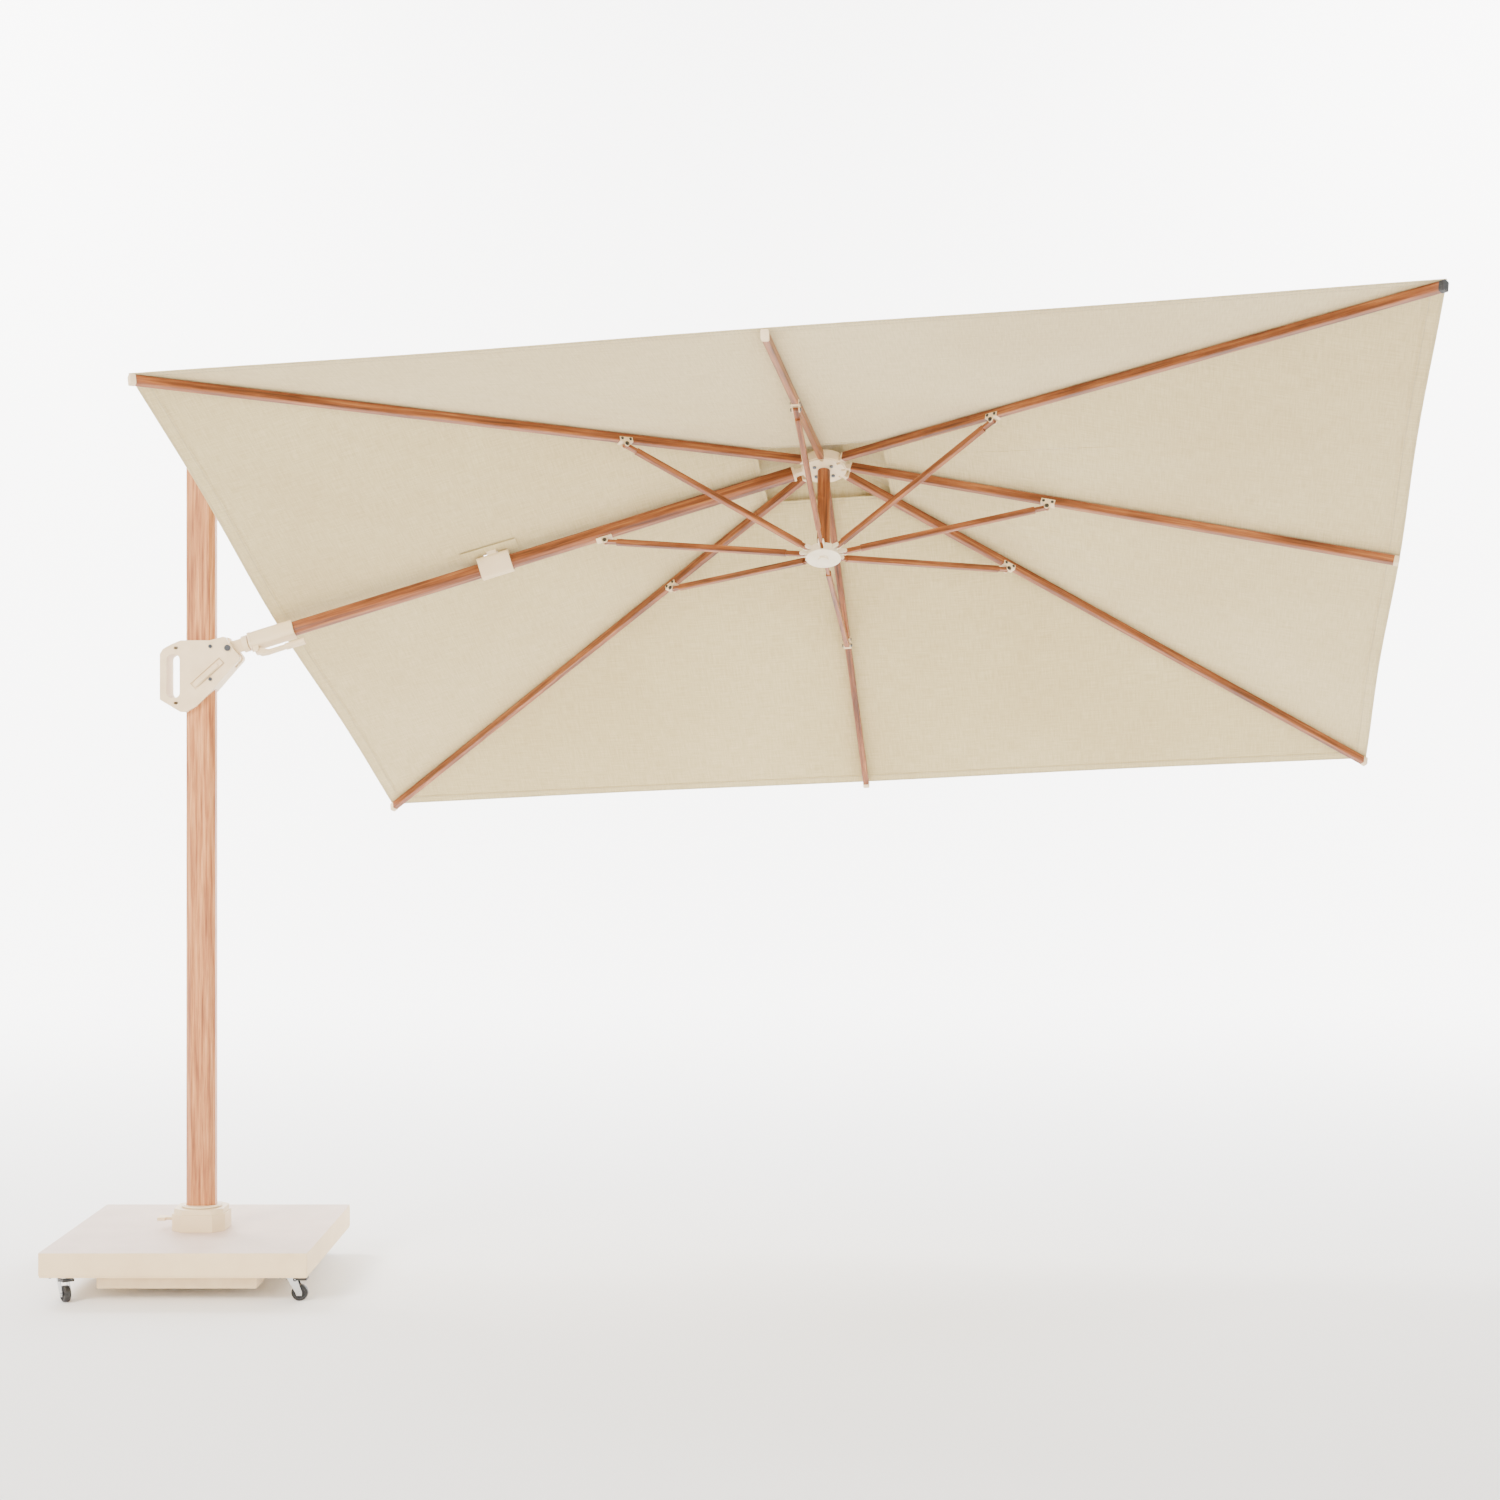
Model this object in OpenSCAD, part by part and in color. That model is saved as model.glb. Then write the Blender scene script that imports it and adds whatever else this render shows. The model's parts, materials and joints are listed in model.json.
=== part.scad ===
// Cantilever parasol: a rectangular canopy hung from a side mast.
// Millimetres, +Z up. The origin lies on the floor under the mast's axis,
// and +X runs from the mast towards the canopy.

/* [Canopy] */
// Length of the canopy, along the arm
canopy_l = 3500; // [3000:10:4000]
// Width of the canopy, across the arm
canopy_w = 2700; // [2300:10:3000]
// Drop of the canopy from its peak to its edge
canopy_drop = 490; // [400:5:560]
// Thickness of the canopy cloth
cloth_t = 2; // [1.5:0.5:3]
// Height of the cloth over the rib axes
cloth_rise = 18; // [18:1:24]
// Length of the vent opening
vent_l = 400; // [300:10:500]
// Overlap of the vent cover past its opening
vent_lap = 95; // [60:5:120]
// Gap between the vent cover and the canopy
vent_gap = 20; // [16:1:30]
// Length of the slot in the cloth for the strut
slot_l = 143; // [140:1:180]
// Width of the slot in the cloth for the strut
slot_w = 112; // [112:1:130]

/* [Ribs] */
// Width of a rib tube
rib_w = 20; // [18:1:24]
// Height of a rib tube
rib_h = 28; // [26:1:32]
// Wall of the rib and strut tubes
rib_wall = 1.6; // [1.2:0.1:2.5]
// Width of a strut tube
strut_w = 16; // [14:1:16]
// Height of a strut tube
strut_h = 20; // [16:1:22]
// Thickness of the flat tongues at the hinges
tongue_t = 10; // [8:0.5:12]
// Radius of the hinge pins
pin_r = 3; // [2.5:0.25:4]
// Drop of a rib bracket's pivot below the rib axis
bracket_drop = 24.5; // [24:0.5:30]

/* [Hub] */
// Radius of the hub
hub_r = 72; // [70:1:80]
// Height of the hub
hub_h = 38; // [34:1:44]
// Radius of the ring of rib hinges
hinge_r = 64; // [62:1:66]
// Depth of the rib hinges below the peak
hinge_q = 20; // [18:1:22]
// Radius of the centre pole
pole_r = 20.5; // [18:0.5:24]
// Depth of the runner's hinges below the peak
runner_q = 338; // [320:2:360]
// Radius of the runner's lower disc
runner_r = 55; // [50:1:55]

/* [Arm] */
// Distance along the arm from the crank pivot to the hub
arm_reach = 1985; // [1800:5:2100]
// Slope of the arm above level
arm_pitch = 17.25; // [14:0.25:20]
// Slope of the arm above the canopy plane
canopy_pitch = 16.3; // [14:0.1:18]
// Side tilt of the canopy about the arm
canopy_roll = -28.3; // [-35:0.1:35]
// Height of the hub over the arm axis
hub_rise = 7.5; // [6:0.5:10]
// Height of the arm tube
arm_h = 44; // [40:1:46]
// Width of the arm tube
arm_w = 36; // [32:1:40]
// Wall of the arm tube
arm_wall = 2.5; // [2:0.25:4]
// Distance along the arm from the crank pivot to the link pivot
link_reach = 887; // [800:1:950]
// Height of the link pivot over the arm axis
link_rise = 55; // [52:1:64]

/* [Mast] */
// Height of the mast's top above the floor
mast_top = 2690; // [2680:5:2800]
// Width of the mast, along X
mast_w = 92; // [80:1:96]
// Depth of the mast, along Y
mast_d = 66; // [60:1:70]
// Chamfer on the mast's long edges
mast_chamfer = 17; // [10:0.5:20]
// Wall of the mast tube
mast_wall = 3; // [2:0.25:4]
// Distance of the crank pivot from the mast's axis
crank_x = 92.3; // [88:0.1:96]
// Height of the crank pivot above the floor
crank_z = 2004; // [1950:1:2020]

/* [Slider] */
// Width of the slider across Y
slider_d = 100; // [96:1:110]
// Width of the neck that turns in the slider
neck_w = 30; // [26:1:32]

/* [Base] */
// Length of the square base slab's side
slab_w = 816; // [700:4:900]
// Thickness of the base slab
slab_t = 75.5; // [60:0.5:90]
// Height of the slab's underside above the floor
slab_z = 79.5; // [76:0.5:90]
// Height of the mast foot
foot_h = 70; // [66:1:90]
// Width of the mast foot
foot_w = 168; // [164:1:210]
// Clearance under the plinth
plinth_z = 36; // [30:1:45]

/* [Castors] */
// Radius of a castor wheel
wheel_r = 25; // [22:0.5:26]
// Width of a castor wheel
wheel_w = 20; // [16:1:24]
// Trail from the swivel to the wheel
castor_trail = 26; // [20:1:30]
// Distance of each swivel from the base's centre lines
castor_in = 350; // [330:1:355]

/* [Fits] */
// Gap between parts that move past each other
gap = 0.4; // [0.3:0.05:0.6]
// Radial gap of a pin in its bore
run_fit = 0.06; // [0.03:0.01:0.1]

/* [Hidden] */
$fn = 48;
// compass places of the ribs round the hub, counted from the outer end
RIBS = ["outer", "far_outer", "far", "far_inner", "near_inner", "near", "near_outer"];
WHEELS = ["near_inner", "near_outer", "far_inner", "far_outer"];

wood = "#c98f66";
cream = "#e6d9c0";
cloth = "#d2c8b2";
chrome = "#c4c6c8";
black = "#222222";
steel = "#8c8c8a";

bore_r = pin_r + run_fit;
knuckle_r = 8;
slab_top = slab_z + slab_t;
half_l = canopy_l / 2;
half_w = canopy_w / 2;
corner_az = atan(half_w / half_l);
corner_r = norm([half_l, half_w]);
cap_l = 16;

// The link runs from the mast head to the bracket and mirrors the arm's crank
link_angle = arm_pitch + atan(link_rise / link_reach);
link_l = norm([link_reach, link_rise]);
head_z = crank_z + 2 * link_l * sin(link_angle);

// azimuth of each rib in the canopy plane, counted from the outer end towards +Y
function rib_az(i) = [0, corner_az, 90, 180 - corner_az, 180 + corner_az, 270, 360 - corner_az][i];
function is_corner(i) = i == 1 || i == 3 || i == 4 || i == 6;
function rib_reach(i) = is_corner(i) ? corner_r : (i == 0 ? half_l : half_w);
function rib_slope(i) = atan(canopy_drop / rib_reach(i));
function rib_len(i) = rib_reach(i) / cos(rib_slope(i)) - 4;

// where a strut hangs from its rib, and where it meets the runner
function bracket_r(i) = is_corner(i) ? 703 : (i == 0 ? 700 : 698);
function bracket_q(i) = is_corner(i) ? (hinge_q + runner_q) / 2
  : bracket_r(i) * tan(rib_slope(i)) + bracket_drop / cos(rib_slope(i));
function foot_r(i) = is_corner(i) ? hinge_r : (i == 0 ? 68 : 72);
function strut_dip(i) = atan((runner_q - bracket_q(i)) / (bracket_r(i) - foot_r(i)));
function strut_len(i) = norm([runner_q - bracket_q(i), bracket_r(i) - foot_r(i)]);

arm_bracket_r = 700;
arm_bracket_drop = 34;
arm_q0 = hub_rise / cos(canopy_pitch);
arm_hinge_q = arm_q0 + hinge_r * tan(canopy_pitch);
arm_bracket_q = arm_q0 + arm_bracket_r * tan(canopy_pitch) + arm_bracket_drop / cos(canopy_pitch);
arm_foot_r = 68;

// frames
module at_arm() translate([crank_x, 0, crank_z]) rotate([0, -arm_pitch, 0]) children();
module at_rolled_arm() at_arm() rotate([canopy_roll, 0, 0]) children();
module at_canopy()
  at_rolled_arm() translate([arm_reach, 0, hub_rise]) rotate([0, canopy_pitch, 0]) children();
// X outwards in the canopy plane
module at_rib(i) at_canopy() rotate([0, 0, rib_az(i)]) children();
// X along the rib's own axis, from the peak
module along_rib(i) at_rib(i) rotate([0, rib_slope(i), 0]) children();

// round-cornered rectangle, a by b, and a tube of that section along X
module round_rect(a, b, r) {
  square([a - 2 * r, b], center = true);
  square([a, b - 2 * r], center = true);
  for (x = [-1, 1], y = [-1, 1]) translate([x * (a / 2 - r), y * (b / 2 - r)]) circle(r);
}
module bar_x(len, w, h, r) rotate([0, 90, 0]) linear_extrude(len) round_rect(h, w, r);
module tube_x(len, w, h, wall, r) difference() {
  bar_x(len, w, h, r);
  translate([-1, 0, 0]) bar_x(len + 2, w - 2 * wall, h - 2 * wall, max(r - wall, 0.5));
}
// cylinder along Y, centred
module pin_y(len, r) rotate([90, 0, 0]) cylinder(h = len, r = r, center = true);
// flat link along X with a round end at the origin, centred on Y
module tongue(len, t, r) {
  pin_y(t, r);
  translate([0, -t / 2, -r]) cube([len, t, 2 * r]);
}
module chamfer_rect(a, b, c) polygon([
  [a / 2 - c, b / 2], [-a / 2 + c, b / 2], [-a / 2, b / 2 - c], [-a / 2, -b / 2 + c],
  [-a / 2 + c, -b / 2], [a / 2 - c, -b / 2], [a / 2, -b / 2 + c], [a / 2, b / 2 - c]]);

// ---------- base ----------
module base_slab() color(cream) {
  difference() {
    translate([0, 0, slab_z + 6]) linear_extrude(slab_t - 6) round_rect(slab_w, slab_w, 5);
    translate([0, 0, slab_top - 30]) cylinder(h = 31, r = 40);
  }
  translate([0, 0, slab_z]) linear_extrude(6) round_rect(slab_w - 4, slab_w - 4, 4);
}

plinth_l = 490;
plinth_bar = 114;
plinth_y = 353;
module base_plinth() color(cream) {
  for (s = [-1, 1])
    translate([-plinth_l / 2, s * (plinth_y - plinth_bar / 2) - plinth_bar / 2, plinth_z])
      cube([plinth_l, plinth_bar, slab_z - plinth_z]);
  translate([-150, -plinth_y + plinth_bar, plinth_z + 6])
    cube([300, 2 * (plinth_y - plinth_bar), slab_z - plinth_z - 6]);
}

// ---------- castors ----------
plate_t = 3;
fork_w = wheel_w + 6;
head_r = 16;
fork_top = slab_z - plate_t - 0.4;
function castor_x(i) = (i % 2 == 0 ? -1 : 1) * castor_in;
function castor_y(i) = (i < 2 ? -1 : 1) * castor_in;
function castor_turn(i) = [308, 0, 150, 185][i];
module at_castor(i) translate([castor_x(i), castor_y(i), 0]) rotate([0, 0, castor_turn(i)]) children();

module castor_plates() for (i = [0:3]) color(chrome) translate([castor_x(i), castor_y(i), 0]) {
  translate([0, 0, slab_z - plate_t]) difference() {
    linear_extrude(plate_t) round_rect(76, 76, 8);
    for (x = [-1, 1], y = [-1, 1]) translate([x * 29, y * 29, -1]) cylinder(h = plate_t + 2, r = 3.2);
  }
  translate([0, 0, fork_top - 8]) cylinder(h = 8.4, r = 5);
}
module castor_fork(i) color(chrome) at_castor(i) difference() {
  union() {
    translate([0, 0, fork_top - 12]) cylinder(h = 12, r = head_r);
    for (s = [-1, 1]) translate([0, s * (fork_w / 2 + 1), 0]) rotate([90, 0, 0])
      linear_extrude(2, center = true) polygon([
        [-14, fork_top - 1], [17, fork_top - 1], [castor_trail + 9, wheel_r + 2],
        [castor_trail + 8, wheel_r - 8], [castor_trail - 8, wheel_r - 8], [castor_trail - 12, wheel_r + 2]]);
    translate([-14, -fork_w / 2 - 2, fork_top - 3]) cube([31, fork_w + 4, 3]);
    // axle, and the brake's pivots
    translate([castor_trail, 0, wheel_r]) pin_y(fork_w + 8, 4);
    for (s = [-1, 1]) translate([brake_x, s * (fork_w / 2 + 4), brake_z]) pin_y(5, 2 - run_fit);
  }
  translate([0, 0, fork_top - 9]) cylinder(h = 10, r = 5 + run_fit);
}
module castor_wheel(i) color(black) at_castor(i) translate([castor_trail, 0, wheel_r]) rotate([90, 0, 0])
  difference() {
    union() {
      cylinder(h = wheel_w - 4, r = wheel_r, center = true);
      cylinder(h = wheel_w, r = wheel_r - 3, center = true);
    }
    for (s = [-1, 1]) translate([0, 0, s * (wheel_w / 2 - 1.5)]) difference() {
      cylinder(h = 4, r = wheel_r - 7, center = true);
      cylinder(h = 5, r = 7, center = true);
    }
    cylinder(h = wheel_w + 2, r = 4 + run_fit, center = true);
  }
brake_x = 14;
brake_z = fork_top - 9;
module castor_brake(i) color(black) at_castor(i) translate([brake_x, 0, brake_z]) difference() {
  union() {
    for (s = [-1, 1]) translate([0, s * (fork_w / 2 + 4), 0]) {
      pin_y(3, 6);
      translate([0, -1.5, -3]) cube([24, 3, 8]);
    }
    translate([18, -fork_w / 2 - 5.5, -3]) cube([18, fork_w + 11, 8]);
  }
  pin_y(fork_w + 20, 2);
}

// ---------- foot ----------
ring_t = 6;
module foot_block() color(cream) {
  foot_shell();
  translate([pedal_x, 0, pedal_z]) pin_y(32, 2.5 - run_fit);
}
module foot_shell() difference() {
  union() {
    translate([0, 0, slab_top]) linear_extrude(foot_h - 16) chamfer_rect(foot_w, foot_w, 34);
    translate([0, 0, slab_top + foot_h - 16]) linear_extrude(16) chamfer_rect(foot_w - 12, foot_w - 12, 32);
    translate([0, 0, slab_top - 29]) cylinder(h = 29, r = 39.7);
  }
  // socket for the turning mast
  translate([0, 0, slab_top + 8]) cylinder(h = foot_h, r = 56 + run_fit);
  // slot for the turn lock's pedal
  translate([-foot_w / 2 - 1, -16, slab_top + 16]) cube([26, 32, 28]);
}
module foot_ring() color(cream) difference() {
  union() {
    translate([0, 0, slab_top + 8 + gap]) cylinder(h = foot_h - 8, r = 56);
    translate([0, 0, slab_top + foot_h + gap]) cylinder(h = ring_t, r = 64);
  }
  translate([0, 0, slab_top + 20]) linear_extrude(foot_h) chamfer_rect(mast_w, mast_d, mast_chamfer);
}
pedal_x = -foot_w / 2 + 8;
pedal_z = slab_top + 34;
module turn_pedal() color(cream) translate([pedal_x, 0, pedal_z]) difference() {
  union() {
    pin_y(31, 7);
    translate([-40, -14, -6]) cube([40, 28, 8]);
    translate([-62, -22, -8]) cube([26, 44, 10]);
  }
  pin_y(33, 2.5);
}

// ---------- mast ----------
mast_foot = slab_top + 20;
module mast() color(wood) translate([0, 0, mast_foot]) difference() {
  linear_extrude(mast_top - mast_foot) chamfer_rect(mast_w, mast_d, mast_chamfer);
  translate([0, 0, -1]) linear_extrude(mast_top - mast_foot + 2)
    chamfer_rect(mast_w - 2 * mast_wall, mast_d - 2 * mast_wall, mast_chamfer - mast_wall * 0.6);
}

head_w = 34;
module mast_head() color(cream) {
  // plug and cap
  translate([0, 0, mast_top - 60]) linear_extrude(60)
    chamfer_rect(mast_w - 2 * mast_wall - 0.4, mast_d - 2 * mast_wall - 0.4, mast_chamfer - mast_wall * 0.6);
  translate([0, 0, mast_top]) linear_extrude(8) chamfer_rect(mast_w + 8, mast_d + 8, mast_chamfer);
  // clevis that carries the link
  difference() {
    union() for (s = [-1, 1]) translate([0, s * (head_w / 2 + 4), 0]) {
      translate([crank_x, 0, head_z]) pin_y(8, 20);
      translate([mast_w / 2, -4, head_z - 20]) cube([crank_x - mast_w / 2, 8, 40]);
    }
    translate([crank_x, 0, head_z]) pin_y(head_w + 20, 6 + run_fit);
  }
  translate([mast_w / 2, -mast_d / 2 + 2, head_z - 20]) cube([8, mast_d - 4, 40]);
  translate([crank_x, 0, head_z]) pin_y(head_w + 26, 6);
}

// ---------- upper strut ----------
link_w = 30;
module at_link() translate([crank_x, 0, head_z]) rotate([0, link_angle, 0]) children();
module upper_strut() color(wood) at_link() translate([40, 0, 0]) tube_x(link_l - 80, link_w, 40, 2, 8);
module strut_ends() color(cream) at_link() for (e = [0, 1])
  translate([e * link_l, 0, 0]) rotate([0, e * 180, 0]) difference() {
    union() {
      tongue(40, link_w, 17);
      translate([40, 0, 0]) bar_x(40, link_w - 4.4, 35.4, 6);
    }
    pin_y(link_w + 2, (e == 0 ? 6 : 5) + run_fit);
  }

// ---------- slider on the mast ----------
module slider_outline() polygon([
  [-56, 24], [36, 24], [78, 36], [83, 34], [128, -27], [128, -37], [40, -138], [-8, -186],
  [-40, -204], [-58, -203], [-123, -164], [-123, -20], [-114, -4], [-86, 12]]);
module slider_slot(x, z, w, h, r)
  translate([x, 0, z]) rotate([90, 0, 0]) linear_extrude(2 * slider_d, center = true) round_rect(w, h, r);
module slider_shell(s) color(cream) translate([0, 0, crank_z]) difference() {
  translate([0, s * slider_d / 4, 0]) rotate([90, 0, 0])
    linear_extrude(slider_d / 2 - gap, center = true) slider_outline();
  // channel for the mast
  translate([0, 0, -300]) linear_extrude(600)
    chamfer_rect(mast_w + 2 * gap, mast_d + 2 * gap, mast_chamfer);
  // hand slot
  slider_slot(-81, -89.5, 42, 137, 16);
  // small slots above and below the hand slot
  for (z = [0, -175]) slider_slot(-72, z, 14, 9, 4.4);
  // way for the neck to swing up
  translate([mast_w / 2 + 6, -neck_w / 2 - gap, -60]) cube([100, neck_w + 2 * gap, 120]);
  translate([crank_x, 0, 0]) pin_y(slider_d + 10, 6 + run_fit);
  // recess for the clamp lever on the near side
  if (s < 0) translate([0, 0, -crank_z]) at_lever() translate([-lever_l - 6, -3, -13]) cube([lever_l + 11, 7.1, 26]);
}
module slider_bolts() color(steel) translate([0, 0, crank_z]) {
  translate([crank_x, 0, 0]) {
    pin_y(slider_d + 2, 6);
    for (s = [-1, 1]) translate([0, s * (slider_d / 2 + 2.4), 0]) pin_y(5, 10);
  }
  for (p = [[37.5, 5], [37.5, -99]], s = [-1, 1])
    translate([p[0], s * (slider_d / 2 + 1.4), p[1]]) pin_y(3, 6);
}
lever_x = 71;
lever_z = -43;
lever_turn = 42;
lever_l = 113;
// X along the lever towards its hinge, Z along the hinge's axis
module at_lever() translate([lever_x, -slider_d / 2 + 0.5, crank_z + lever_z]) rotate([0, -lever_turn, 0]) children();
module clamp_lever() color(cream) at_lever() {
  cylinder(h = 17, r = 3.5, center = true);
  rotate([90, 0, 0]) linear_extrude(7, center = true) polygon([
    [-lever_l, -6], [-lever_l + 14, -10], [-16, -9], [0, -8.5], [0, 8.5], [-16, 9], [-lever_l + 14, 10], [-lever_l, 6]]);
  // raised grip panel
  translate([-lever_l / 2 - 4, -5.5, 0]) rotate([90, 0, 0])
    linear_extrude(5, center = true) round_rect(lever_l - 18, 13, 4);
}

// ---------- arm ----------
neck_l = 60;
seam = 64;
module arm_neck() color(cream) at_arm() difference() {
  union() {
    pin_y(neck_w, 20);
    translate([0, -neck_w / 2, -20]) cube([neck_l - 18, neck_w, 40]);
    translate([neck_l - 18, 0, 0]) rotate([0, 90, 0]) cylinder(h = 18, r = 27);
    // spigot that carries the turning arm
    translate([neck_l, 0, 0]) rotate([0, 90, 0]) cylinder(h = 60, r = 12);
  }
  pin_y(neck_w + 2, 6 + run_fit);
}
sleeve_l = 104;
sleeve_r = 26;
module arm_bracket() color(cream) at_arm() translate([link_reach, 0, 0]) difference() {
  union() {
    translate([-sleeve_l / 2, 0, 4]) bar_x(sleeve_l, 62, 70, 10);
    for (s = [-1, 1]) translate([0, s * (link_w / 2 + 0.4 + 5), 0]) {
      translate([0, 0, link_rise]) pin_y(10, 15);
      translate([-15, -5, 10]) cube([30, 10, link_rise - 10]);
    }
  }
  translate([-sleeve_l, 0, 0]) rotate([0, 90, 0]) cylinder(h = 2 * sleeve_l, r = sleeve_r + run_fit);
  // way for the link's end
  translate([-60, -link_w / 2 - gap, link_rise - 18.5]) cube([120, link_w + 2 * gap, 60]);
  translate([0, 0, link_rise]) pin_y(70, 5 + run_fit);
}
module bracket_bolts() color(steel) at_arm() translate([link_reach, 0, 0]) {
  translate([0, 0, link_rise]) pin_y(2 * (link_w / 2 + 10.4) + 6, 5);
  for (x = [-40, 40], s = [-1, 1]) translate([x, s * 32.6, 22]) pin_y(3.2, 6);
}
module arm_socket() color(cream) at_rolled_arm() difference() {
  union() {
    translate([seam, 0, 0]) bar_x(8, 54, 56, 14);
    translate([seam + 8, 0, 0]) bar_x(140, 50, 56, 14);
    // lugs for the tilt lever
    for (s = [-1, 1]) translate([seam + 18, s * 12, -38]) {
      pin_y(6, 9);
      translate([-9, -3, 0]) cube([18, 6, 14]);
    }
    translate([seam + 18, 0, -38]) pin_y(20, 3 - run_fit);
  }
  translate([seam + 70, 0, 0]) bar_x(200, arm_w, arm_h, 12);
  translate([seam - 1, 0, 0]) rotate([0, 90, 0]) cylinder(h = 62, r = 12 + run_fit);
}
// the tube stops short of the hub, where the flat end takes over
arm_tube_end = arm_reach - hinge_r * cos(canopy_pitch) - arm_hinge_q * sin(canopy_pitch) - 38;
module arm_tube() color(wood) at_rolled_arm() {
  difference() {
    translate([seam + 70, 0, 0]) bar_x(arm_tube_end - seam - 70, arm_w, arm_h, 12);
    translate([seam + 69, 0, 0])
      bar_x(arm_tube_end - seam - 68, arm_w - 2 * arm_wall, arm_h - 2 * arm_wall, 12 - arm_wall);
  }
  // round sleeve that turns in the bracket
  translate([link_reach - sleeve_l / 2 - 3, 0, 0]) rotate([0, 90, 0]) difference() {
    cylinder(h = sleeve_l + 6, r = sleeve_r);
    translate([0, 0, -1]) linear_extrude(sleeve_l + 8) round_rect(arm_h, arm_w, 12);
  }
}
// flat end of the arm at the hub, and the bracket for the arm's own strut
module at_arm_bracket() at_canopy() translate([-arm_bracket_r, 0, -arm_bracket_q])
  rotate([0, -canopy_pitch, 0]) children();
module arm_end() color(cream) {
  at_canopy() translate([-hinge_r, 0, -arm_hinge_q]) rotate([0, -canopy_pitch, 0]) mirror([1, 0, 0])
    difference() {
      union() {
        tongue(40, 20, 9);
        translate([38, 0, 0]) bar_x(70, arm_w - 2 * arm_wall - 0.2, arm_h - 2 * arm_wall - 0.2, 10);
        translate([30, 0, 0]) bar_x(8, arm_w, arm_h, 8);
      }
      pin_y(22, 4 + run_fit);
    }
  at_arm_bracket() {
    for (s = [-1, 1]) difference() {
      union() {
        translate([0, s * (strut_w / 2 + 2.3), 0]) pin_y(4, 10);
        translate([-10, s * (strut_w / 2 + 2.3) - 2, 0]) cube([20, 4, arm_bracket_drop - arm_h / 2]);
      }
      pin_y(60, bore_r);
    }
    translate([-26, -15, arm_bracket_drop - arm_h / 2 - 4]) cube([52, 30, 4]);
    pin_y(2 * (strut_w / 2 + 6.3), pin_r);
  }
}
module tilt_lever() color(cream) at_rolled_arm() translate([seam + 18, 0, -38]) difference() {
  union() {
    pin_y(17.4, 8);
    // cranked web that stands off from the socket, and its grip
    rotate([90, 0, 0]) linear_extrude(17.4, center = true) polygon([
      [-6, -5], [4, 4], [12, 4], [38, -12], [128, -13], [128, -22], [30, -24], [10, -21]]);
    translate([92, 0, -17.5]) bar_x(64, 24, 17, 7);
  }
  pin_y(20, 3);
}

// ---------- hub, pole and runner ----------
hub_top = 4;
vent_post_r = 12;
module hub_body() color(cream) at_canopy() {
  hub_block();
  // post under the vent cover, and the cap that clamps the cover on it
  translate([0, 0, hub_top - 1]) cylinder(h = vent_peak - vent_fall * vent_post_r - hub_top + 1, r = vent_post_r);
  cylinder(h = vent_peak + 4, r = 4);
  translate([0, 0, vent_peak + cloth_t]) cylinder(h = 5, r = 16);
}
module hub_block() difference() {
  translate([0, 0, hub_top - hub_h]) union() {
    cylinder(h = hub_h, r = hub_r - 4);
    translate([0, 0, 4]) cylinder(h = hub_h - 8, r = hub_r);
  }
  translate([0, 0, hub_top - hub_h - 1]) cylinder(h = 20, r = pole_r + 0.02);
  for (i = [0:6]) rotate([0, 0, rib_az(i)]) {
    translate([hinge_r - knuckle_r - 0.6, -tongue_t / 2 - gap / 2, -hub_h]) cube([40, tongue_t + gap, hub_h - 7]);
    translate([hinge_r, 0, -hinge_q]) pin_y(30, bore_r);
  }
  rotate([0, 0, 180]) {
    translate([hinge_r - 9.8, -10.3, -hub_h]) cube([40, 20.6, hub_h - 7]);
    translate([hinge_r, 0, -arm_hinge_q]) pin_y(46, 4 + run_fit);
  }
  for (k = [0:3]) rotate([0, 0, 45 + 90 * k]) translate([38, 0, -hub_h]) cylinder(h = 24, r = bore_r);
}
module centre_pole() color(wood) at_canopy() difference() {
  translate([0, 0, -runner_q - 1]) cylinder(h = runner_q + 1 - hub_h + hub_top + 17, r = pole_r);
  translate([0, 0, -runner_q - 2]) cylinder(h = runner_q + 4, r = pole_r - 2);
}
module hub_bolts() color(steel) at_canopy() {
  for (i = [0:6]) rotate([0, 0, rib_az(i)]) translate([hinge_r, 0, -hinge_q]) pin_y(26, pin_r);
  translate([-hinge_r, 0, -arm_hinge_q]) pin_y(42, 4);
  for (k = [0:3]) rotate([0, 0, 45 + 90 * k]) translate([38, 0, hub_top - hub_h]) {
    cylinder(h = 20, r = pin_r);
    translate([0, 0, -4]) cylinder(h = 4, r = 6);
  }
}

runner_top = 8;
// the lower disc stands clear of the strut ends, which drift down as they fold
disc_q = 18;
slot_floor = disc_q - 0.2;
ear_t = 4;
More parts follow.
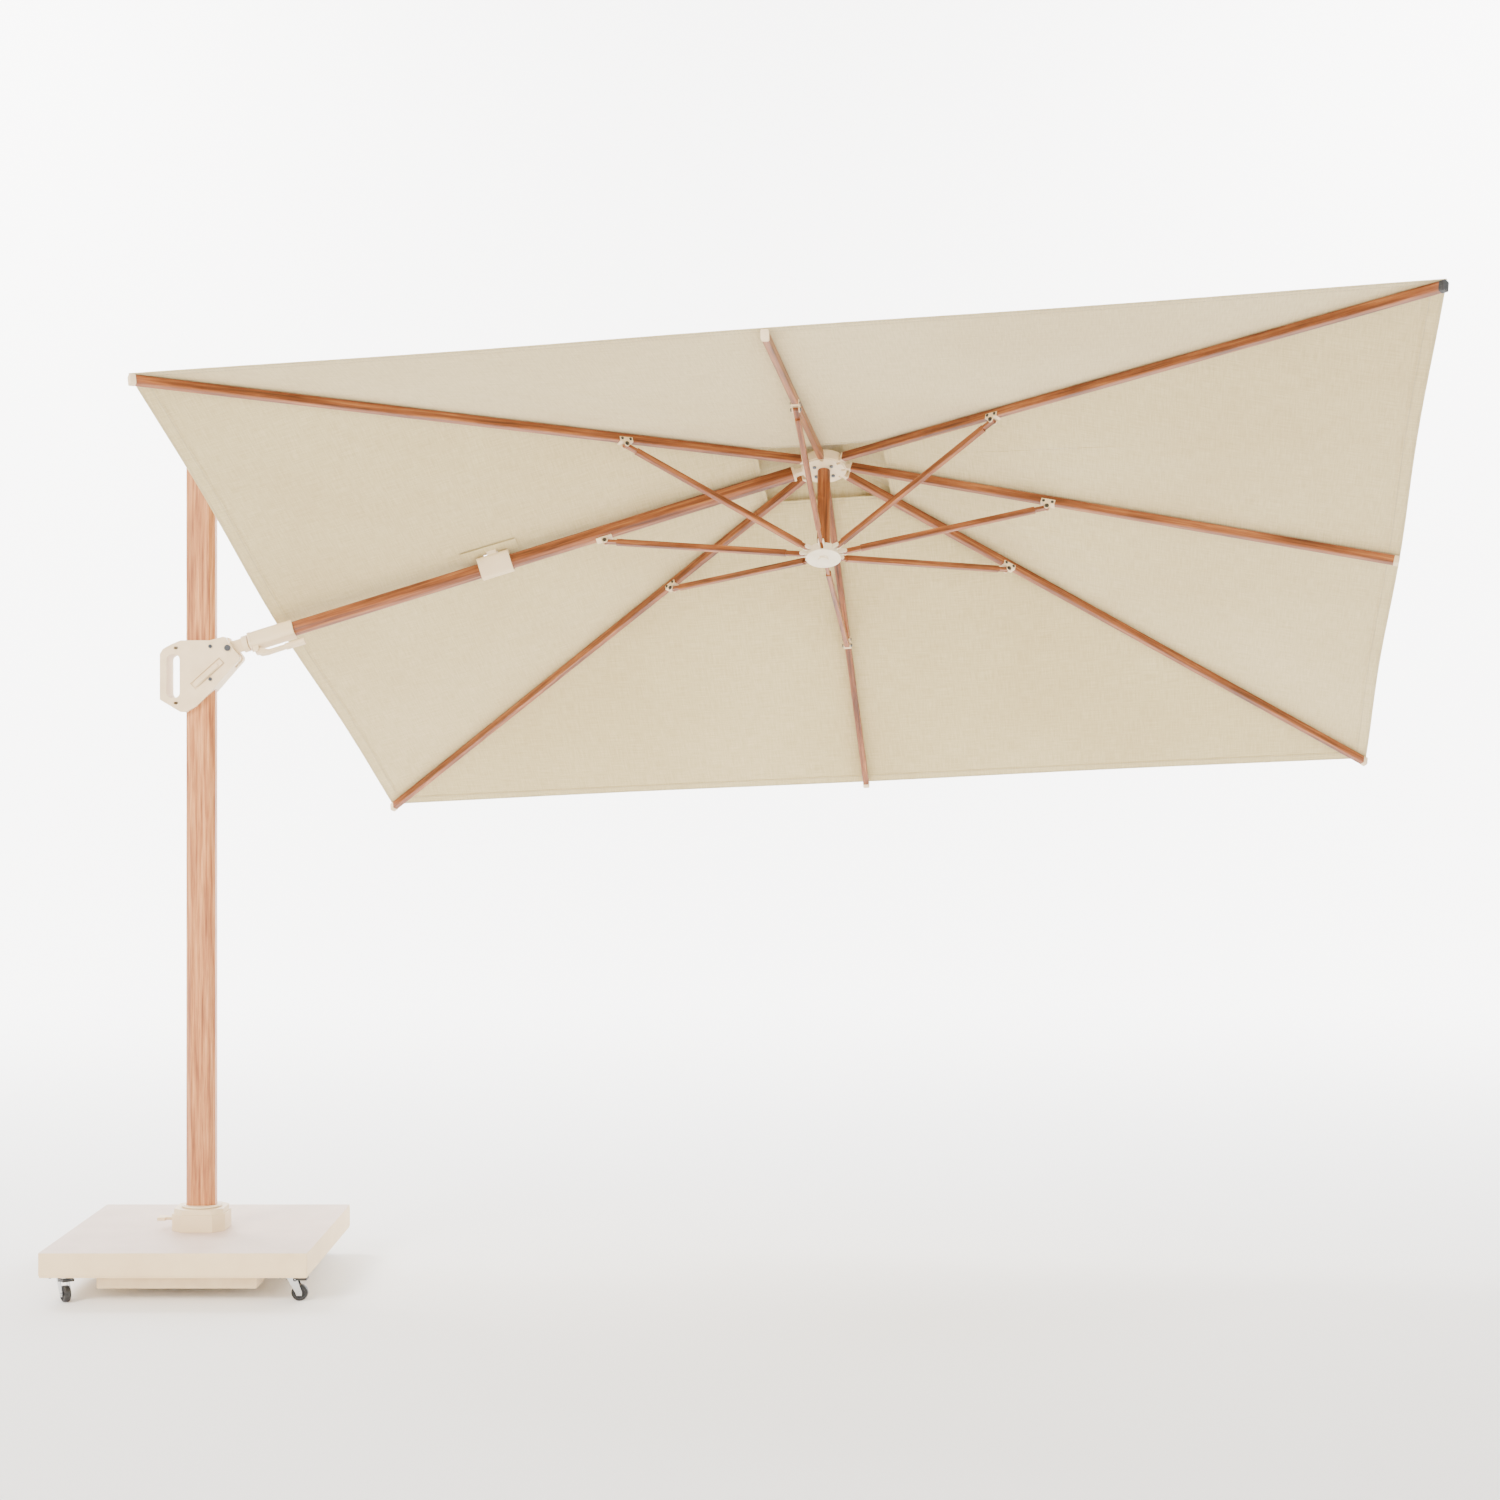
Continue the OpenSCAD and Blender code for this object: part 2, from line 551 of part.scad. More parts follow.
// the slots reach further in where a strut's end drifts inwards as it folds
function slot_r(i) = is_corner(i) ? hinge_r - knuckle_r - 1 : (i == 0 ? 37 : 15);
module runner_slot(r) translate([r, -tongue_t / 2 - gap / 2, -slot_floor]) cube([100, tongue_t + gap, 60]);
module ears(foot) for (s = [-1, 1]) {
  translate([foot, s * (tongue_t / 2 + gap / 2 + ear_t / 2), 0]) pin_y(ear_t, 7);
  translate([28, s * (tongue_t / 2 + gap / 2 + ear_t / 2) - ear_t / 2, -7]) cube([foot - 28, ear_t, 14]);
}
module runner() color(cream) at_canopy() translate([0, 0, -runner_q]) difference() {
  union() {
    translate([0, 0, -disc_q]) cylinder(h = disc_q + runner_top, r = 48);
    translate([0, 0, -disc_q - 4]) cylinder(h = 4, r = runner_r);
    translate([0, 0, -disc_q - 10]) cylinder(h = 6, r = 15);
    for (i = [0:6]) rotate([0, 0, rib_az(i)]) ears(foot_r(i));
    rotate([0, 0, 180]) ears(arm_foot_r);
    for (i = [1, 3, 4, 6]) rotate([0, 0, rib_az(i)]) translate([hinge_r, 0, 0])
      pin_y(tongue_t + 8, pin_r);
  }
  for (i = [0:6]) rotate([0, 0, rib_az(i)]) difference() {
    runner_slot(slot_r(i));
    if (is_corner(i)) translate([hinge_r, 0, 0]) pin_y(tongue_t + 8, pin_r);
  }
  rotate([0, 0, 180]) runner_slot(29);
  translate([0, 0, -3]) cylinder(h = 60, r = pole_r + 0.6);
}

// ---------- ribs and struts ----------
rib_start = 26;
module rib(i) color(wood) along_rib(i)
  translate([hinge_r / cos(rib_slope(i)) + rib_start, 0, 0])
    tube_x(rib_len(i) - cap_l - hinge_r / cos(rib_slope(i)) - rib_start, rib_w, rib_h, rib_wall, 4);

module rib_fittings(i) color(cream) {
  plug_w = rib_w - 2 * rib_wall - 0.2;
  plug_h = rib_h - 2 * rib_wall - 0.2;
  // knuckle at the hub, level with the hinge ring, and its plug in the tube
  difference() {
    union() {
      at_rib(i) translate([hinge_r, 0, -hinge_q]) rotate([0, rib_slope(i), 0])
        tongue(rib_start - 3, tongue_t, knuckle_r);
      along_rib(i) translate([hinge_r / cos(rib_slope(i)) + rib_start - 5, 0, 0]) {
        bar_x(5, rib_w, rib_h, 4);
        bar_x(40, plug_w, plug_h, 2.4);
      }
    }
    at_rib(i) translate([hinge_r, 0, -hinge_q]) pin_y(tongue_t + 12, bore_r);
  }
  // cap on the rib's tip, with its bolt
  along_rib(i) translate([rib_len(i) - cap_l, 0, 0]) {
    bar_x(cap_l, rib_w + 2, rib_h + 2, 5);
    translate([-30, 0, 0]) bar_x(30, plug_w, plug_h, 2.4);
  }
  // saddle and ears that carry the strut
  drop = bracket_below(i);
  ear_y = strut_w / 2 + 2.3;
  at_rib(i) translate([bracket_r(i), 0, -bracket_q(i)]) rotate([0, rib_slope(i), 0]) {
    for (s = [-1, 1]) difference() {
      union() {
        translate([0, s * ear_y, 0]) pin_y(3, 9);
        translate([-9, s * ear_y - 1.5, 0]) cube([18, 3, drop - rib_h / 2]);
      }
      pin_y(60, bore_r);
    }
    for (s = [-1, 1]) translate([-22, s * (rib_w / 2 + 1.25) - 1.25, drop - rib_h / 2 - 2.5]) cube([44, 2.5, 16]);
    translate([-22, -rib_w / 2 - 2.5, drop - rib_h / 2 - 2.5]) cube([44, rib_w + 5, 2.5]);
    pin_y(2 * ear_y + 7, pin_r);
  }
}
// depth of the strut's pivot below the rib axis, square to the rib
function bracket_below(i) = bracket_q(i) * cos(rib_slope(i)) - bracket_r(i) * sin(rib_slope(i));

// a strut from its bracket, at the origin, to the runner, along +X; tip is its tongue's length,
// longer where the end drifts into the runner as it folds
function tip_l(i) = is_corner(i) ? 20 : (i == 0 ? arm_tip_l : 64);
arm_tip_l = 50;
strut_end = 46;
module strut_parts(len, tip) {
  color(wood) translate([strut_end, 0, 0]) tube_x(len - strut_end - tip - 8, strut_w, strut_h, rib_wall, 3);
  color(cream) {
    difference() {
      union() {
        pin_y(strut_w - 0.4, 5.6);
        translate([0, -strut_w / 2 + 0.2, -5]) cube([strut_end - 8, strut_w - 0.4, 10]);
        translate([strut_end - 8, 0, 0]) bar_x(8, strut_w, strut_h, 3);
        translate([strut_end, 0, 0]) bar_x(24, strut_w - 2 * rib_wall - 0.2, strut_h - 2 * rib_wall - 0.2, 1.4);
      }
      pin_y(30, bore_r);
    }
    translate([len, 0, 0]) mirror([1, 0, 0]) difference() {
      union() {
        tongue(tip, tongue_t - 0.4, 7.5);
        translate([tip, 0, 0]) bar_x(8, strut_w, strut_h, 3);
        translate([tip + 8, 0, 0]) bar_x(24, strut_w - 2 * rib_wall - 0.2, strut_h - 2 * rib_wall - 0.2, 1.4);
      }
      pin_y(30, pin_r + 0.4);
    }
  }
}
module strut(i) at_rib(i) translate([bracket_r(i), 0, -bracket_q(i)]) mirror([1, 0, 0])
  rotate([0, strut_dip(i), 0]) strut_parts(strut_len(i), tip_l(i));
arm_strut_dip = atan((runner_q - arm_bracket_q) / (arm_bracket_r - arm_foot_r));
module strut_arm() at_canopy() translate([-arm_bracket_r, 0, -arm_bracket_q])
  rotate([0, arm_strut_dip, 0])
    strut_parts(norm([runner_q - arm_bracket_q, arm_bracket_r - arm_foot_r]), arm_tip_l);

// ---------- canopy ----------
vent_k = vent_l / canopy_l;
vent_out_k = vent_k + 2 * vent_lap / canopy_l;
vent_hole_k = 0.004;
vent_peak = cloth_rise + vent_gap + 6;
vent_edge = cloth_rise + vent_gap - vent_out_k * canopy_drop;
// fall of the vent cover per millimetre across its short side
vent_fall = (vent_peak - vent_edge) / ((vent_out_k - vent_hole_k) * half_w);
// rectangular rings that share the canopy's slope, k being the share of its half size
function ring(k, z) = [for (c = [[1, 1], [-1, 1], [-1, -1], [1, -1]])
  [c[0] * k * half_l, c[1] * k * half_w, z]];
module cloth_shell(k_in, k_out, z_in, z_out, t) {
  points = concat(ring(k_in, z_in + t), ring(k_out, z_out + t), ring(k_out, z_out), ring(k_in, z_in));
  polyhedron(points, [for (r = [0:3], j = [0:3])
    [r * 4 + j, r * 4 + (j + 1) % 4, ((r + 1) % 4) * 4 + (j + 1) % 4, ((r + 1) % 4) * 4 + j]]);
}
module canopy() color(cloth) at_canopy() difference() {
  cloth_shell(vent_k, 1, cloth_rise - vent_k * canopy_drop, cloth_rise - canopy_drop, cloth_t);
  // slot over the bracket
  translate([-(arm_reach - link_reach) * cos(canopy_pitch) - slot_l / 2, -slot_w / 2, -canopy_drop])
    cube([slot_l, slot_w, canopy_drop + 100]);
}
module vent_cover() color(cloth) at_canopy() cloth_shell(vent_hole_k, vent_out_k, vent_peak, vent_edge, cloth_t);

base_slab();
base_plinth();
castor_plates();
foot_block();
foot_ring();
turn_pedal();
mast();
mast_head();
upper_strut();
strut_ends();
slider_shell(-1);  // slider_near_shell
slider_shell(1);  // slider_far_shell
slider_bolts();
clamp_lever();
arm_neck();
union() { arm_bracket(); bracket_bolts(); }
arm_socket();
arm_tube();
arm_end();
tilt_lever();
hub_body();
centre_pole();
hub_bolts();
runner();
canopy();
vent_cover();
strut_arm();
for (i = [0:3]) {
  castor_fork(i);
  castor_wheel(i);
  castor_brake(i);
}
for (i = [0:6]) {
  rib(i);
  rib_fittings(i);
  strut(i);
}
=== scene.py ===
import json
import math

import bmesh
import bpy
import numpy as np
from mathutils import Matrix, Vector


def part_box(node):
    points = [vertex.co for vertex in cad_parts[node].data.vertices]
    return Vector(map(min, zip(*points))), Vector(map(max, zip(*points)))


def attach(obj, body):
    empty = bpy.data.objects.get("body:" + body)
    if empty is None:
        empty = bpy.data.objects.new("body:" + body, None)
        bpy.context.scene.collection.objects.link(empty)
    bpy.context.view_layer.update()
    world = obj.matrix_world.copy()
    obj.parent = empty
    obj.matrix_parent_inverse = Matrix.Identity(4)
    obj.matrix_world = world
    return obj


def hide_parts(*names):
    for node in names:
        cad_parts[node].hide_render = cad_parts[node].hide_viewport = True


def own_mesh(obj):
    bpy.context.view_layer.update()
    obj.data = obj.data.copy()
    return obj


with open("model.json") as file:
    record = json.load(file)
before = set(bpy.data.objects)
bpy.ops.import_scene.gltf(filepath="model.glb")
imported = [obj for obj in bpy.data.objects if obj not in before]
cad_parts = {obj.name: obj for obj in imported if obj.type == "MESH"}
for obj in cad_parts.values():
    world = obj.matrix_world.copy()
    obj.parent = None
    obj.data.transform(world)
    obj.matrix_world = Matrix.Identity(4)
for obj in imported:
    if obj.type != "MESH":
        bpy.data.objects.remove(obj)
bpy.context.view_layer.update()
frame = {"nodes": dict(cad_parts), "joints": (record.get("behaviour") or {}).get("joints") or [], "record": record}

nodes = frame["nodes"]
joints = {joint["name"]: joint for joint in frame["joints"]}
bodyOf = {name: body for body, names in frame["record"]["behaviour"]["bodies"].items() for name in names}
ribs = ["outer", "far_outer", "far", "far_inner", "near_inner", "near", "near_outer"]
castors = ["near_inner", "near_outer", "far_inner", "far_outer"]
print("frame loaded:", len(nodes), "nodes")


def jointPlace(name):  # places come from the frame, in metres
    return Vector(joints[name]["pos_m"])


def jointAxis(name):
    return Vector(joints[name]["axis"]).normalized()


def axes(x, y, z, origin):  # a frame from its three directions
    turned = Matrix((x, y, z)).transposed().to_4x4()
    return Matrix.Translation(origin) @ turned


hinge = {"reach": 0.064, "depth": 0.020}  # the ring of rib hinges, from the canopy's peak, in metres
across = jointAxis("rib_fold_outer")  # towards the far side, in the canopy's plane
along = -jointAxis("rib_fold_far")  # from the mast outwards
up = along.cross(across)
peak = jointPlace("rib_fold_outer") - along * hinge["reach"] + up * hinge["depth"]
canopyFrame = axes(along, across, up, peak)
armAxis = jointAxis("side_tilt")

studio = {  # metres, with the lens and sensor in millimetres
    "camera": (1.75, -7.982, 1.680), "lens": 60.0, "sensor": 36.0, "farthest": 200, "worldLight": 1.35,
    "floorTone": "#fbfaf9", "floorRoughness": 0.95, "halfWidth": 40.0, "front": -20.0,
    "wallDistance": 14.0, "wallHeight": 24.0, "curve": 5.0, "curveSteps": 16,
}
lights = {  # place, target, size in metres, power in watts and tone
    "key": ((-4.5, -6.5, 5.5), (0.6, 0, 1.4), 3.0, 1060, "#fff6ea"),
    "fill": ((8.5, -10.5, 3.4), (2.6, 0, 2.0), 4.0, 560, "#ffffff"),
    "wall_wash_left": ((-6.3, 6.5, 9.0), (-2.3, 14, 2.5), 6.0, 5200, "#ffffff"),
    "wall_wash_right": ((9.7, 6.5, 9.0), (5.7, 14, 2.5), 6.0, 5200, "#ffffff"),
    "bounce": ((2.6, -11.5, 2.4), (2.3, 0.1, 2.4), 4.0, 420, "#fff8ee"),
}


def linear(code):  # sRGB hex to linear colour
    parts = [int(code[k:k + 2], 16) / 255 for k in (1, 3, 5)]
    return tuple(c / 12.92 if c <= 0.04045 else ((c + 0.055) / 1.055) ** 2.4 for c in parts) + (1.0,)


def addNode(tree, kind, inputs=None, **settings):  # a node with its settings, values and links
    node = tree.nodes.new(kind)
    for key, value in settings.items():
        setattr(node, key, value)
    for key, value in (inputs or {}).items():
        socket = node.inputs[key]
        if isinstance(value, bpy.types.NodeSocket):
            tree.links.new(value, socket)
        else:
            socket.default_value = value
    return node


def areaLight(name, place, target, size, power, tone):
    data = bpy.data.lights.new(name, "AREA")
    data.energy, data.size, data.color = power, size, linear(tone)[:3]
    light = bpy.data.objects.new(name, data)
    light.location = place
    light.rotation_euler = (Vector(target) - Vector(place)).to_track_quat("-Z", "Y").to_euler()
    bpy.context.scene.collection.objects.link(light)


def newMaterial(name):
    material = bpy.data.materials.new(name)
    material.use_nodes = True
    tree = material.node_tree
    return material, tree, tree.nodes["Principled BSDF"]


def buildStudio():
    camera = bpy.data.cameras.new("camera")
    camera.lens, camera.sensor_width = studio["lens"], studio["sensor"]
    camera.clip_end = studio["farthest"]
    eye = bpy.data.objects.new("camera", camera)
    eye.location = studio["camera"]
    eye.rotation_euler = (math.radians(90), 0, 0)
    bpy.context.scene.collection.objects.link(eye)
    bpy.context.scene.camera = eye
    # plain pale floor that curves up into the wall
    profile = [(studio["front"], 0.0)]
    bend = studio["curve"]
    for k in range(studio["curveSteps"] + 1):
        turn = math.radians(90 * k / studio["curveSteps"])
        profile.append((studio["wallDistance"] - bend + bend * math.sin(turn), bend - bend * math.cos(turn)))
    profile.append((studio["wallDistance"], studio["wallHeight"]))
    points = [(side * studio["halfWidth"], y, z) for y, z in profile for side in (-1, 1)]
    faces = [(2 * k, 2 * k + 1, 2 * k + 3, 2 * k + 2) for k in range(len(profile) - 1)]
    mesh = bpy.data.meshes.new("studio_floor")
    mesh.from_pydata(points, [], faces)
    mesh.shade_smooth()
    floor = bpy.data.objects.new("studio_floor", mesh)
    bpy.context.scene.collection.objects.link(floor)
    material, tree, shader = newMaterial("studioPaper")
    shader.inputs["Base Color"].default_value = linear(studio["floorTone"])
    shader.inputs["Roughness"].default_value = studio["floorRoughness"]
    mesh.materials.append(material)
    world = bpy.data.worlds.new("softWhite")
    world.use_nodes = True
    background = world.node_tree.nodes["Background"]
    background.inputs["Color"].default_value = (1, 1, 1, 1)
    background.inputs["Strength"].default_value = studio["worldLight"]
    bpy.context.scene.world = world
    for name, setting in lights.items():
        areaLight(name, *setting)


buildStudio()
print("studio ready")


def objectPoint(tree, turn=None, shift=(0, 0, 0), scale=(1, 1, 1)):
    # object coordinates, turned first and then scaled, so that a grain follows its tube
    source = addNode(tree, "ShaderNodeTexCoord").outputs["Object"]
    turned = addNode(tree, "ShaderNodeMapping", {
        "Vector": source, "Rotation": turn or (0, 0, 0), "Location": shift})
    scaled = addNode(tree, "ShaderNodeMapping", {"Vector": turned.outputs[0], "Scale": scale})
    return scaled.outputs[0]


def noise(tree, vector, scale, detail=3.0, rough=0.55):
    node = addNode(tree, "ShaderNodeTexNoise", {
        "Vector": vector, "Scale": scale, "Detail": detail, "Roughness": rough})
    return node.outputs["Fac"]


def ramp(tree, factor, stops):  # stops are (place, hex)
    node = addNode(tree, "ShaderNodeValToRGB", {"Fac": factor})
    band = node.color_ramp.elements
    while len(band) < len(stops):
        band.new(0.5)
    for element, (place, code) in zip(band, stops):
        element.position, element.color = place, linear(code)
    return node.outputs["Color"]


def mix(tree, kind, factor, first, second):
    node = addNode(tree, "ShaderNodeMix", data_type="RGBA", blend_type=kind)
    for socket, value in zip((node.inputs[0], node.inputs[6], node.inputs[7]), (factor, first, second)):
        if isinstance(value, bpy.types.NodeSocket):
            tree.links.new(value, socket)
        else:
            socket.default_value = value
    return node.outputs[2]


def roughnessFrom(tree, shader, factor, low, high):
    node = addNode(tree, "ShaderNodeMapRange", {"Value": factor, "To Min": low, "To Max": high})
    tree.links.new(node.outputs[0], shader.inputs["Roughness"])


def bumpFrom(tree, shader, height, depth, strength=1.0):
    node = addNode(tree, "ShaderNodeBump", {"Height": height, "Distance": depth, "Strength": strength})
    tree.links.new(node.outputs[0], shader.inputs["Normal"])


grain = {  # width and length of each part of the printed wood grain, in metres
    "band": (0.011, 0.26),
    "fibre": (0.0022, 0.09),  # drawn coarser than the foil's 0.3 mm, to show
    "blotch": (0.07, 0.55),
}
patterns = {  # width of each finish's pattern, in metres
    "orangePeel": 0.0015, "coatCloud": 0.12, "sparkGrain": 0.0008, "flowMark": 0.05, "slabGrit": 0.002,
    "slabDust": 0.18, "clothCloud": 0.5, "threadTwist": 0.001, "rubberDust": 0.006,
}
# the tube tones are darker than the mast's: partly the foil's own tone, partly painted shade under the canopy
woodTonesWithPaintedShade = {
    "mast": [(0.3, "#80451f"), (0.43, "#ae6b38"), (0.55, "#c8854c"), (0.7, "#dfa168")],
    "tube": [(0.3, "#46220e"), (0.43, "#733d1c"), (0.55, "#91542d"), (0.7, "#b0723f")],
}
woodMauveWithPaintedShade = {"mast": "#98644a", "tube": "#693820"}


def streaks(tree, turn, shift, part, detail, rough):  # noise drawn out along the tube
    width, length = grain[part]
    scale = (1 / width, 1 / width, 1 / length)
    return noise(tree, objectPoint(tree, turn, shift, scale), 1.0, detail, rough)


def woodFoilAluminium(name, direction, tones, seed):
    # extruded aluminium, powder coated and printed with a teak grain by heat transfer:
    # satin, streaked along the tube
    material, tree, shader = newMaterial("woodFoilAluminium_" + name)
    turn = Vector(direction).rotation_difference(Vector((0, 0, 1))).to_euler()
    shift = (seed * 0.37, seed * 0.21, seed * 1.3)
    bands = streaks(tree, turn, shift, "band", 5.0, 0.62)
    fibres = streaks(tree, turn, shift, "fibre", 2.0, 0.5)
    blotches = streaks(tree, turn, shift, "blotch", 2.0, 0.5)
    # for the tubes these tones include painted shade
    colour = ramp(tree, bands, woodTonesWithPaintedShade[tones])
    mauve = ramp(tree, blotches, [(0.45, "#000000"), (0.7, "#6a6a6a")])
    colour = mix(tree, "MIX", mauve, colour, linear(woodMauveWithPaintedShade[tones]))
    dark = ramp(tree, fibres, [(0.3, "#c9b9ae"), (0.5, "#ffffff")])
    colour = mix(tree, "MULTIPLY", 0.75, colour, dark)
    tree.links.new(colour, shader.inputs["Base Color"])
    roughnessFrom(tree, shader, bands, 0.34, 0.5)
    bumpFrom(tree, shader, fibres, 0.0002, 0.35)
    return material


def coatedMetal(name, code, seed, roughness):
    # die-cast aluminium with a sand-cream powder coat: even colour, satin, faint orange peel 1.5 mm across
    material, tree, shader = newMaterial(name)
    point = objectPoint(tree, shift=(seed, seed, seed))
    peel = noise(tree, point, 1 / patterns["orangePeel"], 2.0)
    cloud = noise(tree, point, 1 / patterns["coatCloud"], 3.0)
    shade = ramp(tree, cloud, [(0.3, "#f1ece4"), (0.7, "#ffffff")])
    tree.links.new(mix(tree, "MULTIPLY", 0.8, linear(code), shade), shader.inputs["Base Color"])
    roughnessFrom(tree, shader, cloud, roughness - 0.05, roughness + 0.06)
    bumpFrom(tree, shader, peel, 0.00008, 0.4)
    return material


def mouldedNylon(name, code, roughness):
    # glass-filled nylon, injection moulded with a fine spark-eroded grain 0.8 mm across: softly matt
    material, tree, shader = newMaterial(name)
    point = objectPoint(tree)
    spark = noise(tree, point, 1 / patterns["sparkGrain"], 3.0, 0.7)
    flow = noise(tree, point, 1 / patterns["flowMark"], 2.0)
    shade = ramp(tree, flow, [(0.3, "#eee8de"), (0.7, "#ffffff")])
    tree.links.new(mix(tree, "MULTIPLY", 0.7, linear(code), shade), shader.inputs["Base Color"])
    roughnessFrom(tree, shader, flow, roughness - 0.04, roughness + 0.07)
    bumpFrom(tree, shader, spark, 0.0001, 0.45)
    shader.inputs["IOR"].default_value = 1.53
    return material


def coatedSlab(name, code, paintedTopTint):
    # steel-clad ballast slab, powder coated: fine texture 2 mm across, and a cooler painted light tint on its
    # upward faces
    material, tree, shader = newMaterial(name)
    point = objectPoint(tree)
    grit = noise(tree, point, 1 / patterns["slabGrit"], 3.0, 0.65)
    dust = noise(tree, point, 1 / patterns["slabDust"], 4.0, 0.6)
    # the upward faces get a cooler, lavender tone: painted light, as the light falls on the top
    facing = addNode(tree, "ShaderNodeTexCoord").outputs["Normal"]
    lift = addNode(tree, "ShaderNodeSeparateXYZ", {"Vector": facing}).outputs["Z"]
    paintedTopShare = addNode(tree, "ShaderNodeMapRange", {
        "Value": lift, "From Min": 0.5, "From Max": 0.95}).outputs[0]
    colour = mix(tree, "MIX", paintedTopShare, linear(code), linear(paintedTopTint))
    shade = ramp(tree, dust, [(0.32, "#eee9e4"), (0.68, "#ffffff")])
    tree.links.new(mix(tree, "MULTIPLY", 0.8, colour, shade), shader.inputs["Base Color"])
    roughnessFrom(tree, shader, dust, 0.48, 0.64)
    bumpFrom(tree, shader, grit, 0.00015, 0.5)
    return material


weave = {"thread": 0.0032, "slubWidth": 0.004, "slubLength": 0.07, "waveScale": 0.314}  # metres


def wovenPolyester(name, warpCode, weftCode):
    # solution-dyed polyester canvas, plain woven: heathered and matt
    # the 0.6 mm threads are drawn 3.2 mm wide to show
    material, tree, shader = newMaterial(name)
    cloth = addNode(tree, "ShaderNodeUVMap", uv_map="cloth").outputs["UV"]
    heights, tones = [], []
    for direction in (0, 1):
        turned = addNode(tree, "ShaderNodeMapping", {
            "Vector": cloth, "Rotation": (0, 0, direction * math.pi / 2)}).outputs[0]
        waves = addNode(tree, "ShaderNodeTexWave", {
            "Vector": turned, "Scale": weave["waveScale"] / weave["thread"],
            "Distortion": 0.6, "Detail": 1.0})
        heights.append(waves.outputs["Fac"])
        stretched = addNode(tree, "ShaderNodeMapping", {
            "Vector": turned, "Scale": (1 / weave["slubWidth"], 1 / weave["slubLength"], 1)}).outputs[0]
        tones.append(noise(tree, stretched, 1.0, 3.0, 0.6))
    slubs = addNode(tree, "ShaderNodeMath", {0: tones[0], 1: tones[1]}, operation="ADD").outputs[0]
    halved = addNode(tree, "ShaderNodeMath", {0: slubs, 1: 0.5}, operation="MULTIPLY").outputs[0]
    colour = ramp(tree, halved, [(0.36, warpCode), (0.64, weftCode)])
    cloud = noise(tree, objectPoint(tree), 1 / patterns["clothCloud"], 2.0)
    shade = ramp(tree, cloud, [(0.3, "#f3f0ea"), (0.7, "#ffffff")])
    tree.links.new(mix(tree, "MULTIPLY", 0.8, colour, shade), shader.inputs["Base Color"])
    crossing = addNode(tree, "ShaderNodeMath", {0: heights[0], 1: heights[1]},
                       operation="MULTIPLY").outputs[0]
    bumpFrom(tree, shader, crossing, 0.0004, 0.5)
    shader.inputs["Roughness"].default_value = 0.86
    shader.inputs["Sheen Weight"].default_value = 0.25
    shader.inputs["Sheen Roughness"].default_value = 0.5
    shader.inputs["Specular IOR Level"].default_value = 0.3
    return material


def sewingThread(name, code):
    # bonded polyester thread: twisted, a touch glossier than the cloth
    material, tree, shader = newMaterial(name)
    twist = noise(tree, objectPoint(tree), 1 / patterns["threadTwist"], 1.0)
    shade = ramp(tree, twist, [(0.3, "#cccccc"), (0.7, "#ffffff")])
    tree.links.new(mix(tree, "MULTIPLY", 0.3, linear(code), shade), shader.inputs["Base Color"])
    shader.inputs["Roughness"].default_value = 0.55
    return material


def platedSteel(name, code, roughness, spots):
    # pressed steel with a bright or dark plating: mirror-like, with faint handling smears
    material, tree, shader = newMaterial(name)
    smear = noise(tree, objectPoint(tree), 1 / spots, 3.0, 0.6)
    shade = ramp(tree, smear, [(0.3, "#dcdcdc"), (0.7, "#ffffff")])
    tree.links.new(mix(tree, "MULTIPLY", 0.6, linear(code), shade), shader.inputs["Base Color"])
    shader.inputs["Metallic"].default_value = 1.0
    roughnessFrom(tree, shader, smear, roughness * 0.7, roughness * 1.4)
    bumpFrom(tree, shader, smear, 0.0001, 0.15)
    return material


def blackRubber(name, code, roughness):
    # moulded thermoplastic rubber and nylon: near black, dusty where it rolls
    material, tree, shader = newMaterial(name)
    dust = noise(tree, objectPoint(tree), 1 / patterns["rubberDust"], 4.0, 0.65)
    tree.links.new(ramp(tree, dust, [(0.35, code), (0.75, "#3a3836")]), shader.inputs["Base Color"])
    roughnessFrom(tree, shader, dust, roughness - 0.1, roughness + 0.15)
    bumpFrom(tree, shader, dust, 0.0002, 0.3)
    return material


finishes = {
    "casting": coatedMetal("powderCoatedCasting", "#ead3aa", 0.0, 0.42),
    "ring": coatedMetal("powderCoatedRing", "#eddab5", 4.0, 0.4),
    "moulding": mouldedNylon("mouldedNylonCream", "#e8d0a8", 0.5),
    "disc": mouldedNylon("mouldedNylonPale", "#efe2c6", 0.42),
    # the second tone is the slab top's painted light tint
    "slab": coatedSlab("powderCoatedSlab", "#ecd2a6", "#dac4b6"),
    "cloth": wovenPolyester("wovenPolyesterCanvas", "#bba775", "#d4c28f"),
    "thread": sewingThread("sewingThread", "#b3a98e"),
    "chrome": platedSteel("chromePlatedSteel", "#c9cbcd", 0.14, 0.02),
    "bolt": platedSteel("darkZincBolt", "#5d5f62", 0.3, 0.004),
    "zinc": platedSteel("brightZincPin", "#a3a4a2", 0.32, 0.006),
    "rubber": blackRubber("castorRubber", "#141414", 0.45),
    # black nylon for the castor brakes, also used as painted shade on near_outer's open tip cap
    "black": blackRubber("blackNylonAndPaintedTipShade", "#0f0f0f", 0.4),
}
print("materials ready:", len(finishes))


edgeFinish = {"weld": 2e-5, "flat": math.radians(0.5), "sharp": math.radians(34), "segments": 2}


def coordinates(obj):
    points = np.zeros(len(obj.data.vertices) * 3)
    obj.data.vertices.foreach_get("co", points)
    return points.reshape(-1, 3)


def longAxis(points):  # the direction in which the points spread most
    centred = points - points.mean(0)
    return Vector(np.linalg.eigh(centred.T @ centred)[1][:, -1])


